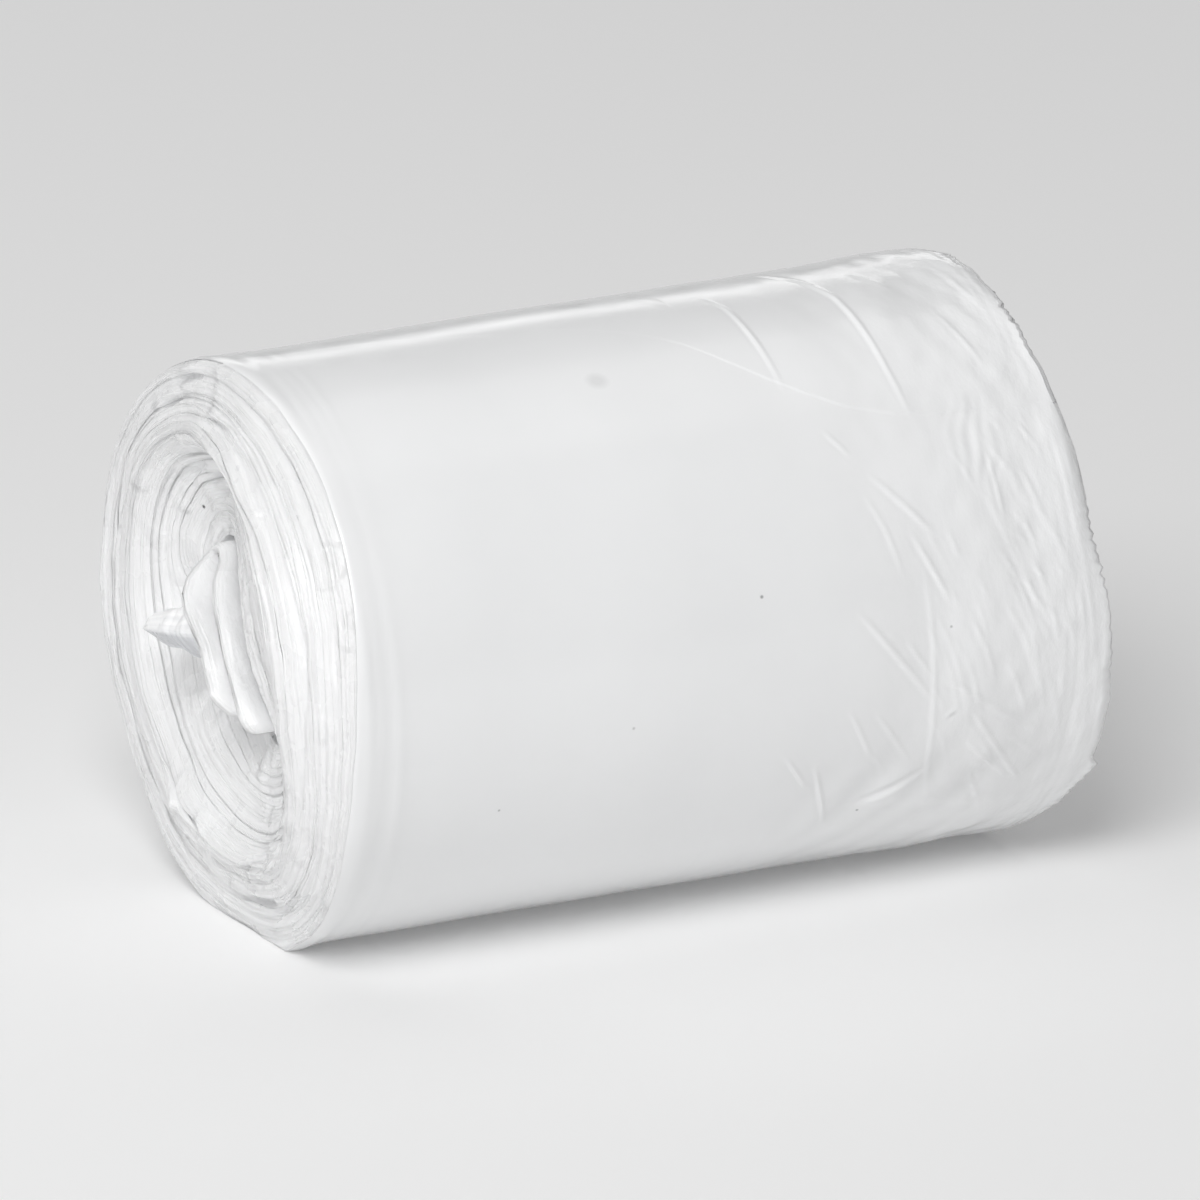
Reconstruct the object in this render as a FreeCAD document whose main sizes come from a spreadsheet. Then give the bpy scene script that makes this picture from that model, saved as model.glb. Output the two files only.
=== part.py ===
import FreeCAD, Part
import math
import os

import Sketcher
from FreeCAD import Placement, Rotation, Vector

# A coreless roll of bin bags, lying on its side.
# One long web of bags, joined end to end and folded lengthwise into a narrow band, is wound on itself.
# X runs along the winding axis, with the end that shows its turns best at -X. The front is -Y and Z is up.
# The origin is on the surface that the roll rests on, under the middle of the web's width.
# Lengths are in millimetres and angles in degrees.

SIZES = (
    ("web_width", 150, "folded web across its folds: a 600 mm bag folded in four"),
    ("roll_diameter", 110, "outer diameter of the winding"),
    ("flat_depth", 2, "how far the roll's weight presses its underside flat"),
    ("turn_count", 12, "turns that stand out at each end; each is a bundle of the film's own turns"),
    ("valley_depth", 1.8, "how deep the gap between two turns is"),
    ("ruffle_height", 0.5, "how far an edge waves in and out along a turn"),
    ("lip_diameter", 79, "ring of turns that stand furthest out of the near end"),
    ("lip_height", 2, "how far those turns stand out beyond the rim, all round"),
    ("lip_front", 8.5, "how much further they stand out where they have slipped the most"),
    ("lip_angle", 20, "where that is, above the front"),
    ("back_lean", 3.5, "how far the whole winding leans out of the near end, at the back"),
    ("rim_swell", 5.5, "how far the slack outer turns spread out at both ends, low at the front"),
    ("swell_angle", 18, "where that is, below the front"),
    ("core_sink", 8.5, "how far the innermost turns lie behind the lip"),
    ("rim_round", 1.2, "how far the soft rim falls back at the outer surface"),
    ("core_length", 41, "long way across the hollow that the winding spindle left"),
    ("core_width", 13, "short way across that hollow, collapsed as it is"),
    ("core_rise", 2, "how far the hollow's middle lies above the axis, along its long way"),
    ("core_slant", 40, "lean of the hollow's long way from upright, top towards the back"),
    ("hollow_depth", 14, "depth of the hollow behind the web's edge, to where the film fills it"),
    ("tail_thickness", 0.5, "thickness of the free end of the web, lying on the turn below"),
    ("tail_angle", 50, "place of the free end round the roll, above the front"),
    ("leaf_thickness", 2.1, "each of the two leaves of the web's first fold"),
    ("leaf_slit", 0.6, "slit between those leaves"),
    ("fold_length", 35.5, "fold along the hollow's long way, from its open end up to its bend"),
    ("fold_end_gap", 3.5, "from the fold's open end down to the end of the hollow's long way"),
    ("fold_clearance", 0.6, "gap between the fold's corners and the hollow's wall"),
    ("fold_reach", 7.5, "how far the back leaf stands out of the web's width, at the near end"),
    ("leaf_step", 3.5, "how much shorter the front leaf is there"),
    ("tab_length", 12, "bent corner of the first bag, from the back leaf to its tip"),
    ("tab_rise", 9.5, "how far its tip lies above its root, along the leaf"),
    ("tab_place", 3, "middle of its root above the hollow's middle, along the leaf"),
    ("tab_lift", 3.5, "how far its tip stands out beyond the leaf, along the roll"),
    ("tab_width", 8, "that corner where it leaves the leaf, along the leaf"),
    ("tab_thickness", 3.2, "that corner where it leaves the leaf, along the roll"),
    ("tab_tip", 1.2, "width and thickness of its tip"),
    ("tab_root", 0.8, "how far the corner reaches into its leaf"),
    ("press_margin", 20, "how far the pressing plane runs past the roll on each side"),
)

# Points on each turn of an edge curve: enough for the ruffles, which repeat up to 4.4 times a turn.
STATIONS = 20
# Share of a turn's width, from its inner side, at which its edge stands highest.
CREST = 0.62
# Expressions that place the pieces by the same sizes as the winding.
AXIS_HEIGHT = "sizes.roll_diameter / 2 - sizes.flat_depth"
FOLD_LOW = "(sizes.core_length / 2 - sizes.fold_end_gap)"
FOLD_TOP = f"(sizes.fold_length - {FOLD_LOW})"
FOLD_THICKNESS = "(2 * sizes.leaf_thickness + sizes.leaf_slit)"
FOLD_FRONT = (
    "(sizes.core_width / 2 * sqrt(1 - pow((sizes.core_length / 2 - sizes.fold_end_gap"
    " + sizes.fold_clearance) / (sizes.core_length / 2); 2)))"
)
NEAR_TIP = "(sizes.web_width / 2 + sizes.fold_reach)"


def make_sheet(doc):
    """The driving dimensions, one to a row, each cell named by its alias."""
    sheet = doc.addObject("Spreadsheet::Sheet", "sizes")
    for row, (alias, value, note) in enumerate(SIZES, start=1):
        sheet.set(f"A{row}", alias)
        sheet.set(f"B{row}", str(value))
        sheet.set(f"C{row}", note)
        sheet.setAlias(f"B{row}", alias)
    return sheet


def around(angle):
    """The direction across the roll at an angle above the front."""
    return Vector(0, -math.cos(math.radians(angle)), math.sin(math.radians(angle)))


class Winding:
    """The wound web as a spiral about X. A place on it is given in turns, from the innermost end outwards."""

    def __init__(self, sheet):
        self.sheet = sheet
        self.turns = int(sheet.turn_count)
        self.radius = sheet.roll_diameter / 2
        self.half_web = sheet.web_width / 2
        self.half_long = sheet.core_length / 2
        self.half_short = sheet.core_width / 2
        half_core = (self.half_long + self.half_short) / 2
        self.wall = self.radius - half_core
        self.lip_level = (sheet.lip_diameter / 2 - half_core) / self.wall
        self.long_way = around(sheet.core_slant + 90)
        self.short_way = around(sheet.core_slant)
        self.lip_way = around(sheet.lip_angle)
        self.swell_way = around(-sheet.swell_angle)
        self.start = math.radians(sheet.tail_angle - sheet.core_slant)

    def level(self, turns):
        """0 at the hollow's edge and 1 at the outer surface. The last turn thins out to the free end."""
        tail = self.sheet.tail_thickness / self.wall
        if turns <= self.turns:
            return (1 - tail) * turns / self.turns
        return 1 - tail * (self.turns + 1 - turns)

    def across(self, level, turns):
        """The point seen along the axis: on an oval that grows from the hollow's edge into the round roll."""
        turned = self.start - 2 * math.pi * turns
        long_half = self.half_long + (self.radius - self.half_long) * level
        short_half = self.half_short + (self.radius - self.half_short) * level
        rise = self.sheet.core_rise * (1 - level)
        along = long_half * math.sin(turned) + rise
        over = short_half * math.cos(turned)
        return self.long_way * along + self.short_way * over

    def shift(self, level, point):
        """How far the web lies along +X: out at the lip, further at the front, and in towards the core."""
        size = self.sheet
        way = point / point.Length
        rise = min(1, (1 - level) / (1 - self.lip_level))
        sink = max(0, 1 - level / self.lip_level)
        lip = size.lip_height + size.lip_front * max(0, self.lip_way.dot(way)) ** 1.6
        lean = size.back_lean * (1 + way.y) / 2
        return size.core_sink * sink * (2 - sink) - lip * rise - lean

    def ruffle(self, turns, end):
        """The waves of an edge: two that never come back in step, so that no two turns wave alike."""
        first = math.sin(2 * math.pi * 2.83 * turns + 1.3 * end)
        second = math.sin(2 * math.pi * 4.37 * turns + 0.4 * end)
        return self.sheet.ruffle_height * (first + 0.6 * second)

    def edge_point(self, level, turns, end, depth):
        """A point of the web's edge at an end, -1 near or +1 far, that lies depth inside that end."""
        point = self.across(level, turns)
        swell = self.sheet.rim_swell * max(0, self.swell_way.dot(point) / self.radius) ** 4
        reach = self.half_web + swell - depth
        point.x = end * reach + self.shift(level, point) + self.ruffle(turns, end)
        return point

    def valley(self, turns, end):
        """The gap inside a turn. The turn past the last one is the rim, where the outer surface starts."""
        past = max(0, turns - self.turns)
        depth = self.sheet.valley_depth + (self.sheet.rim_round - self.sheet.valley_depth) * past
        return self.edge_point(self.level(turns), turns, end, depth)

    def crest(self, turns, end):
        """The line along which a turn's edge stands highest."""
        inner, outer = self.level(turns), self.level(turns + 1)
        return self.edge_point(inner + CREST * (outer - inner), turns, end, 0)

    def floor(self, turns, end):
        """The foot of the hollow's wall, straight behind the innermost gap."""
        point = self.across(self.level(turns), turns)
        point.x = end * (self.half_web - self.sheet.hollow_depth)
        return point


def curve(last, place):
    """The spline through place(turns) from 0 to last, with its parameter in turns."""
    turns = [step / STATIONS for step in range(STATIONS * last + 1)]
    spline = Part.BSplineCurve()
    spline.interpolate(Points=[place(value) for value in turns], Parameters=turns)
    return spline


def flat_face(points):
    return Part.Face(Part.makePolygon(points + points[:1]))


def end_faces(winding, end):
    """One end of the roll: the spiral of crests and gaps, and the hollow inside the first turn."""
    last = winding.turns
    valley = curve(last + 1, lambda turns: winding.valley(turns, end))
    crest = curve(last, lambda turns: winding.crest(turns, end))
    floor = curve(1, lambda turns: winding.floor(turns, end))

    faces = []
    for turn in range(last):
        ridge = crest.toShape(turn, turn + 1)
        faces.append(Part.makeRuledSurface(valley.toShape(turn, turn + 1), ridge))
        faces.append(Part.makeRuledSurface(ridge, valley.toShape(turn + 1, turn + 2)))

    faces.append(Part.makeRuledSurface(floor.toShape(), valley.toShape(0, 1)))
    faces.append(flat_face([floor.value(0), valley.value(0), crest.value(0), valley.value(1), floor.value(1)]))
    faces.append(Part.Face(Part.Wire([floor.toShape(), Part.makeLine(floor.value(1), floor.value(0))])))
    rim = valley.toShape(last, last + 1)
    free_end = [valley.value(last), crest.value(last), valley.value(last + 1)]
    return faces, rim, free_end


def wound_web(sheet):
    """The whole winding as one closed solid about X."""
    winding = Winding(sheet)
    near, near_rim, near_free_end = end_faces(winding, -1)
    far, far_rim, far_free_end = end_faces(winding, 1)
    outside = Part.makeRuledSurface(near_rim, far_rim)
    free_end = flat_face(near_free_end + far_free_end[::-1])
    shell = Part.makeShell(near + far + [outside, free_end])
    shell.sewShape()
    solid = Part.makeSolid(shell)
    if solid.Volume < 0:
        solid.reverse()
    return solid


def make_winding(doc, sheet):
    winding = doc.addObject("Part::Feature", "winding")
    winding.Shape = wound_web(sheet)
    axis_height = sheet.roll_diameter / 2 - sheet.flat_depth
    winding.Placement = Placement(Vector(0, 0, axis_height), Rotation())
    return winding


def make_core_body(doc, name):
    """A body that sits in the middle of the hollow: X along the roll, Z the hollow's long way, front -Y."""
    body = doc.addObject("PartDesign::Body", name)
    body.Placement = Placement(Vector(), Rotation(Vector(-1, 0, 0), 0))
    body.setExpression("Placement.Base.y", "sizes.core_rise * sin(sizes.core_slant * 1 deg)")
    body.setExpression("Placement.Base.z", f"{AXIS_HEIGHT} + sizes.core_rise * cos(sizes.core_slant * 1 deg)")
    body.setExpression("Placement.Rotation.Angle", "sizes.core_slant")
    return body


def make_sketch(body, name, role, offset):
    """A sketch on one of the body's own origin planes, moved along the plane's normal by an expression."""
    sketch = body.newObject("Sketcher::SketchObject", name)
    plane = next(plane for plane in body.Origin.OriginFeatures if plane.Role == role)
    sketch.AttachmentSupport = [(plane, "")]
    sketch.MapMode = "FlatFace"
    sketch.setExpression("AttachmentOffset.Base.z", offset)
    return sketch


def add_size(sketch, name, expression, *constraint):
    """A named dimension of a sketch, bound to the sheet."""
    index = sketch.addConstraint(Sketcher.Constraint(*constraint))
    sketch.renameConstraint(index, name)
    sketch.setExpression(f"Constraints.{name}", expression)


def make_fold(doc):
    """The web's first fold: a flat hairpin that runs the roll's length, with its open end down."""
    body = make_core_body(doc, "first_fold")
    outline = make_sketch(body, "hairpin", "YZ_Plane", f"-{NEAR_TIP}")
    draw_hairpin(outline)
    doc.recompute()
    pad = body.newObject("PartDesign::Pad", "leaves")
    pad.Profile = outline
    pad.setExpression("Length", f"{NEAR_TIP} + sizes.web_width / 2")
    doc.recompute()

    step = make_sketch(body, "front_leaf", "YZ_Plane", f"-{NEAR_TIP}")
    draw_front_leaf(step)
    doc.recompute()
    pocket = body.newObject("PartDesign::Pocket", "shorter_front_leaf")
    pocket.Profile = step
    pocket.Reversed = True
    pocket.setExpression("Length", "sizes.leaf_step")
    body.Tip = pocket
    doc.recompute()
    check_cut(pad, pocket)
    return body


def draw_hairpin(sketch):
    """Two leaves and the bend that joins them at the top, seen along the roll."""
    front, back, top, low = -5, 0, 15, -17
    middle, slit = (front + back) / 2, 0.3
    outer, inner = (back - front) / 2, slit
    sketch.addGeometry([
        Part.LineSegment(Vector(front, low, 0), Vector(front, top, 0)),
        Part.ArcOfCircle(Part.Circle(Vector(middle, top, 0), Vector(0, 0, 1), outer), 0, math.pi),
        Part.LineSegment(Vector(back, top, 0), Vector(back, low, 0)),
        Part.LineSegment(Vector(back, low, 0), Vector(middle + slit, low, 0)),
        Part.LineSegment(Vector(middle + slit, low, 0), Vector(middle + slit, top, 0)),
        Part.ArcOfCircle(Part.Circle(Vector(middle, top, 0), Vector(0, 0, 1), inner), 0, math.pi),
        Part.LineSegment(Vector(middle - slit, top, 0), Vector(middle - slit, low, 0)),
        Part.LineSegment(Vector(middle - slit, low, 0), Vector(front, low, 0)),
    ], False)
    front_side, bend, back_side, back_end, slit_back, slit_bend, slit_front, front_end = range(8)
    joins = (
        ("Tangent", front_side, 2, bend, 2),
        ("Tangent", bend, 1, back_side, 1),
        ("Coincident", back_side, 2, back_end, 1),
        ("Coincident", back_end, 2, slit_back, 1),
        ("Tangent", slit_back, 2, slit_bend, 1),
        ("Tangent", slit_bend, 2, slit_front, 1),
        ("Coincident", slit_front, 2, front_end, 1),
        ("Coincident", front_end, 2, front_side, 1),
        ("Coincident", bend, 3, slit_bend, 3),
        ("Vertical", front_side),
        ("Horizontal", back_end),
        ("Horizontal", front_end),
        ("Horizontal", back_end, 1, front_end, 2),
    )
    for join in joins:
        sketch.addConstraint(Sketcher.Constraint(*join))
    origin = (-1, 1)
    add_size(sketch, "front_face", f"-{FOLD_FRONT}", "DistanceX", *origin, front_side, 1, front)
    add_size(sketch, "open_end", f"-{FOLD_LOW}", "DistanceY", *origin, front_side, 1, low)
    add_size(sketch, "bend_centre", f"{FOLD_TOP} - {FOLD_THICKNESS} / 2", "DistanceY", *origin, bend, 3, top)
    add_size(sketch, "thickness", f"{FOLD_THICKNESS} / 2", "Radius", bend, outer)
    add_size(sketch, "slit", "sizes.leaf_slit / 2", "Radius", slit_bend, inner)


def draw_front_leaf(sketch):
    """The rectangle round the front leaf and half of the slit, seen along the roll."""
    draw_rectangle(sketch, -6, -2, -20, 20)
    margin = "sizes.leaf_thickness"
    add_size(sketch, "outside", f"-{FOLD_FRONT} - {margin}", "DistanceX", -1, 1, 0, 1, -6)
    add_size(sketch, "inside", f"-{FOLD_FRONT} + {FOLD_THICKNESS} / 2", "DistanceX", -1, 1, 1, 1, -2)
    add_size(sketch, "below", f"-{FOLD_LOW} - {margin}", "DistanceY", -1, 1, 0, 1, -20)
    add_size(sketch, "above", f"{FOLD_TOP} + {margin}", "DistanceY", -1, 1, 2, 1, 20)


def draw_rectangle(sketch, left, right, low, high):
    """Four lines that start at the lower left corner and go round to the right."""
    corners = [Vector(left, low, 0), Vector(right, low, 0), Vector(right, high, 0), Vector(left, high, 0)]
    for start, end in zip(corners, corners[1:] + corners[:1]):
        sketch.addGeometry(Part.LineSegment(start, end), False)
    for side in range(4):
        sketch.addConstraint(Sketcher.Constraint("Coincident", side, 2, (side + 1) % 4, 1))
    for side, way in enumerate(("Horizontal", "Vertical", "Horizontal", "Vertical")):
        sketch.addConstraint(Sketcher.Constraint(way, side))


def draw_triangle(sketch, along, middle, width, thickness):
    """A bent corner's section, its ridge towards -X: along and middle place the middle of its open side."""
    sketch.addGeometry([
        Part.LineSegment(Vector(-80, -4, 0), Vector(-80, 4, 0)),
        Part.LineSegment(Vector(-80, 4, 0), Vector(-83, 0, 0)),
        Part.LineSegment(Vector(-83, 0, 0), Vector(-80, -4, 0)),
    ], False)
    for side in range(3):
        sketch.addConstraint(Sketcher.Constraint("Coincident", side, 2, (side + 1) % 3, 1))
    sketch.addConstraint(Sketcher.Constraint("Vertical", 0))
    add_size(sketch, "open_side", along, "DistanceX", -1, 1, 0, 1, -80)
    add_size(sketch, "lower_corner", f"{middle} - {width} / 2", "DistanceY", -1, 1, 0, 1, -4)
    add_size(sketch, "width", width, "DistanceY", 0, 1, 0, 2, 8)
    add_size(sketch, "ridge", f"{along} - {thickness}", "DistanceX", -1, 1, 1, 2, -83)
    add_size(sketch, "ridge_height", middle, "DistanceY", -1, 1, 1, 2, 0)


def make_tab(doc):
    """The first bag's bent corner: it leaves the back leaf and narrows towards its tip, over the hollow."""
    body = make_core_body(doc, "bent_corner")
    back_face = f"(-{FOLD_FRONT} + {FOLD_THICKNESS})"
    along = f"(-{NEAR_TIP} + sizes.tab_thickness)"
    root = make_sketch(body, "corner_root", "XZ_Plane", f"-({back_face} - sizes.tab_root)")
    draw_triangle(root, along, "sizes.tab_place", "sizes.tab_width", "sizes.tab_thickness")
    tip = make_sketch(body, "corner_tip", "XZ_Plane", f"-({back_face} + sizes.tab_length)")
    tip_along = f"(-{NEAR_TIP} - sizes.tab_lift)"
    tip_middle = "(sizes.tab_place + sizes.tab_rise)"
    draw_triangle(tip, tip_along, tip_middle, "sizes.tab_tip", "sizes.tab_tip")
    doc.recompute()
    loft = body.newObject("PartDesign::AdditiveLoft", "corner")
    loft.Profile = root
    loft.Sections = [tip]
    loft.Ruled = True
    body.Tip = loft
    doc.recompute()
    return body


def make_press(doc):
    """The space under the table's surface, which presses the roll's underside flat."""
    press = doc.addObject("Part::Box", "table")
    length = "(sizes.web_width + 2 * sizes.press_margin)"
    width = "(sizes.roll_diameter + 2 * sizes.press_margin)"
    press.setExpression("Length", length)
    press.setExpression("Width", width)
    press.setExpression("Height", "sizes.press_margin")
    press.setExpression("Placement.Base.x", f"-{length} / 2")
    press.setExpression("Placement.Base.y", f"-{width} / 2")
    press.setExpression("Placement.Base.z", "-sizes.press_margin")
    return press


def check_cut(before, after):
    """A cut that points away from the solid takes nothing off it and raises no error."""
    if after.Shape.Volume >= before.Shape.Volume:
        raise RuntimeError(f"{after.Name} cuts nothing")


def check_document(doc):
    """recompute() can leave an object failed without raising."""
    for item in doc.Objects:
        if {"Invalid", "Error"} & set(item.State):
            raise RuntimeError(f"{item.Name} failed: {item.State}")


def write_part(item):
    shape = item.Shape
    if shape.isNull() or not shape.isValid() or len(shape.Solids) != 1:
        raise RuntimeError(f"{item.Label} isn't one valid solid")
    os.makedirs("parts", exist_ok=True)
    shape.exportStep(f"parts/{item.Label}.step")
    box = shape.BoundBox
    print(f"{item.Label}: {shape.Volume:.0f} mm3, {len(shape.Faces)} faces, {box}")


def main():
    doc = FreeCAD.newDocument("bin_bag_roll")
    sheet = make_sheet(doc)
    doc.recompute()
    winding = make_winding(doc, sheet)
    fold = make_fold(doc)
    tab = make_tab(doc)

    whole = doc.addObject("Part::MultiFuse", "web_with_fold")
    whole.Shapes = [winding, fold, tab]
    doc.recompute()
    roll = doc.addObject("Part::Cut", "pressed_roll")
    roll.Base = whole
    roll.Tool = make_press(doc)
    roll.Label = "bag_roll"
    doc.recompute()
    check_document(doc)
    check_cut(whole, roll)
    write_part(roll)


main()
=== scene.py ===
import math

import bpy
import numpy as np
from mathutils import Matrix, Vector


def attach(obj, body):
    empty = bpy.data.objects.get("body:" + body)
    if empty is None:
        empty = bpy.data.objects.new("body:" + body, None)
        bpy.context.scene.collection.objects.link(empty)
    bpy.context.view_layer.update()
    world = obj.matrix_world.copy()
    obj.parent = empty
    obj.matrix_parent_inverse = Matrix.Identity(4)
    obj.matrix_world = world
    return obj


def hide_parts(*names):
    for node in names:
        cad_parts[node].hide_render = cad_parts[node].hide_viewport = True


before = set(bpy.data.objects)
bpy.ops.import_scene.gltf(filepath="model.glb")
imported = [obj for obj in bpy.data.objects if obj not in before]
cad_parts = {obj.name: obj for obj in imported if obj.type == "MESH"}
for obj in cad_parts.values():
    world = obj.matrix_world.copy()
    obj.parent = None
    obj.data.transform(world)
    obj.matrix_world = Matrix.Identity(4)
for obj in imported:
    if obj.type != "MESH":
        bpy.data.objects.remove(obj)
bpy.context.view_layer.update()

# The turns at the near end.
# One long web of thin white film is wound on itself, and here its folded edges stand in rings.
# The turns have slipped: a lip of them stands out, most at the front, and the inner ones lie in a dish.
MM = 0.001
RADIUS = 55.0
FLAT_DEPTH = 2.0
AXIS_HEIGHT = RADIUS - FLAT_DEPTH
HALF_WEB = 75.0
HOLLOW_LONG = 20.5
HOLLOW_SHORT = 6.5
HOLLOW_RISE = 2.0
HOLLOW_DEPTH = 14.0
SLANT = math.radians(40)
LIP_LEVEL = 0.626
LIP_HEIGHT = 2.0
LIP_FRONT = 8.5
LIP_ANGLE = math.radians(20)
BACK_LEAN = 3.5
CORE_SINK = 8.5
RIM_SWELL = 5.5
SWELL_ANGLE = math.radians(-18)
RIM_ROUND = 1.2
RIM_LEVEL = 0.95
TAIL_THICKNESS = 0.2
TAIL_STEP = TAIL_THICKNESS / (RADIUS - HOLLOW_SHORT)
CREST = 0.62
PRESS_BEND = 0.3
STATIONS = 480
# Where the slack near rim sags onto the table: place across the roll, width, and greatest height.
SAG_Y, SAG_WIDTH, SAG_BELOW = -17, 4.5, 20
# How the film's own edges are drawn: rate per turn, and how fast they drift along the roll.
FILMS_PER_TURN = 4.4
FILM_DRIFT = 70


def station_shares(start, dense_from, dense_to, density):
    """STATIONS places round a turn from the angle start, as shares of it. They lie density times
    closer between two angles above the front: the shares are where the summed density passes each
    whole step."""
    fine = np.linspace(0, 1, 4001)
    degrees = np.degrees((start - 2 * np.pi * fine + np.pi) % (2 * np.pi) - np.pi)
    weight = np.where((degrees > dense_from) & (degrees < dense_to), density, 1.0)
    weight = np.convolve(np.pad(weight, 60, mode="wrap"), np.ones(121) / 121, mode="valid")
    grown = np.concatenate([[0], np.cumsum((weight[1:] + weight[:-1]) / 2)])
    return np.interp(np.arange(STATIONS) / STATIONS, grown / grown[-1], fine)


def waves(u, v, count, low, high, seed):
    """An uneven field: the sum of count sine waves over (u, v), sin(2 pi rate (u cos w + v sin w) +
    start), with seeded ways w, rates from low to high and starts, scaled to a size of about 1."""
    draw = np.random.default_rng(seed)
    total = np.zeros(np.broadcast(u, v).shape)
    for _ in range(count):
        way = draw.uniform(0, 2 * np.pi)
        rate = 2 * np.pi * draw.uniform(low, high)
        total += np.sin(rate * (np.cos(way) * u + np.sin(way) * v) + draw.uniform(0, 2 * np.pi))
    return total * math.sqrt(2 / count)


def round_waves(angle, level, count, low, high, drift, seed):
    """The same round the roll: sin(k angle + d level + start) with whole k from low to high, so that
    the field meets itself, and d up to drift, so that it changes from turn to turn."""
    draw = np.random.default_rng(seed)
    total = np.zeros(np.broadcast(angle, level).shape)
    for _ in range(count):
        rate = draw.integers(low, high + 1)
        total += np.sin(rate * angle + draw.uniform(-drift, drift) * level + draw.uniform(0, 2 * np.pi))
    return total * math.sqrt(2 / count)


def bump(value, centre, width):
    """1 at centre and nothing about width away: exp(-((value - centre) / width)^2)."""
    return np.exp(-(((value - centre) / width) ** 2))


def smooth(value, low, high):
    """0 up to low and 1 from high on, by t^2 (3 - 2 t) between them."""
    t = np.clip((value - low) / (high - low), 0, 1)
    return t * t * (3 - 2 * t)


def across(level, angle):
    """(y, z) from the axis: on an oval whose half axes grow evenly from the hollow's to the roll's
    radius as level goes from 0 to 1, while its middle sinks from the hollow's middle to the axis."""
    turned = angle - SLANT
    along = (HOLLOW_LONG + (RADIUS - HOLLOW_LONG) * level) * np.sin(turned) + HOLLOW_RISE * (1 - level)
    over = (HOLLOW_SHORT + (RADIUS - HOLLOW_SHORT) * level) * np.cos(turned)
    y = along * math.sin(SLANT) - over * math.cos(SLANT)
    z = along * math.cos(SLANT) + over * math.sin(SLANT)
    return y, z


def slip(level, angle):
    """How far the web has slipped out of the near end: by the lip, 2 + 8.5 cos(angle - 20)^1.6; by
    the lean, which grows to the back; and less by a sink that grows from the lip to the hollow."""
    lip = LIP_HEIGHT + LIP_FRONT * np.clip(np.cos(angle - LIP_ANGLE), 0, 1) ** 1.6
    rise = np.clip((1 - level) / (1 - LIP_LEVEL), 0, 1)
    sink = np.clip(1 - level / LIP_LEVEL, 0, 1)
    return lip * rise + BACK_LEAN * (1 - np.cos(angle)) / 2 - CORE_SINK * sink * (2 - sink)


def swell(y, z):
    """How far the slack outer turns spread out at both ends: 5.5 (r / 55 cos(angle + 18))^4."""
    toward = np.hypot(y, z) / RADIUS * np.cos(np.arctan2(z, -y) - SWELL_ANGLE)
    return RIM_SWELL * np.clip(toward, 0, 1) ** 4


def press(z):
    """z over the table: (z + sqrt(z^2 + 0.3^2)) / 2 bends up smoothly where the weight presses."""
    return (z + np.sqrt(z * z + PRESS_BEND * PRESS_BEND)) / 2


def ridge_shape(step):
    """A turn's edge: up by a power to its crest at 0.62 of its width, and more steeply down again."""
    rise = np.clip(step / CREST, 0, 1) ** 0.8
    fall = np.clip((1 - step) / (1 - CREST), 0, 1) ** 0.65
    return rise * fall


def turn_level(place, turns):
    """0 at the hollow's edge and 1 at the outer surface, evenly by turns; the last turn thins out."""
    even = (1 - TAIL_STEP) * place / turns
    return np.where(place <= turns, even, 1 - TAIL_STEP * (turns + 1 - place))


def rings(start, end, turns, columns, shares, look):
    """One end's turns as a grid: a row for each station along the spiral, and a column for each
    step over a turn's edge, from the gap inside it. x = end (75 + swell + out) - slip, where look
    gives out, how far each place stands out beyond the even form, in mm, and how far it is pushed
    outwards, in turns."""
    row = np.arange((turns + 1) * STATIONS + 1)
    turn = (row // STATIONS + shares[row % STATIONS])[:, None]
    step = (np.arange(columns) / columns)[None, :]
    place = turn + step
    angle = start - 2 * np.pi * turn + 0 * step
    level = turn_level(place, turns)
    out, push = look(turn, level, angle, step)
    level = np.clip(level + push / turns, 0, 1)
    y, z = across(level, angle)
    x = end * (HALF_WEB + swell(y, z) + out) - slip(level, angle)
    return np.stack([x, y, press(z + AXIS_HEIGHT)], axis=-1), place, level, angle


def ring_faces(first, last, columns):
    """Quads between stations from turn first to turn last. The last column meets the first one a
    turn further on."""
    row = np.arange(first * STATIONS, last * STATIONS)[:, None]
    column = np.arange(columns)[None, :]
    beyond = (column + 1) // columns * STATIONS
    here = row * columns + column
    side = (row + beyond) * columns + (column + 1) % columns
    return np.stack([here, side, side + columns, here + columns], axis=-1).reshape(-1, 4)


def grid_faces(rows, columns, round_rows=False, round_columns=False):
    """Quads of a rows by columns grid, closed round either way if asked."""
    row = np.arange(rows if round_rows else rows - 1)[:, None]
    column = np.arange(columns if round_columns else columns - 1)[None, :]
    next_row, next_column = (row + 1) % rows, (column + 1) % columns
    return np.stack(
        [
            row * columns + column,
            row * columns + next_column,
            next_row * columns + next_column,
            next_row * columns + column,
        ],
        axis=-1,
    ).reshape(-1, 4)


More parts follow.
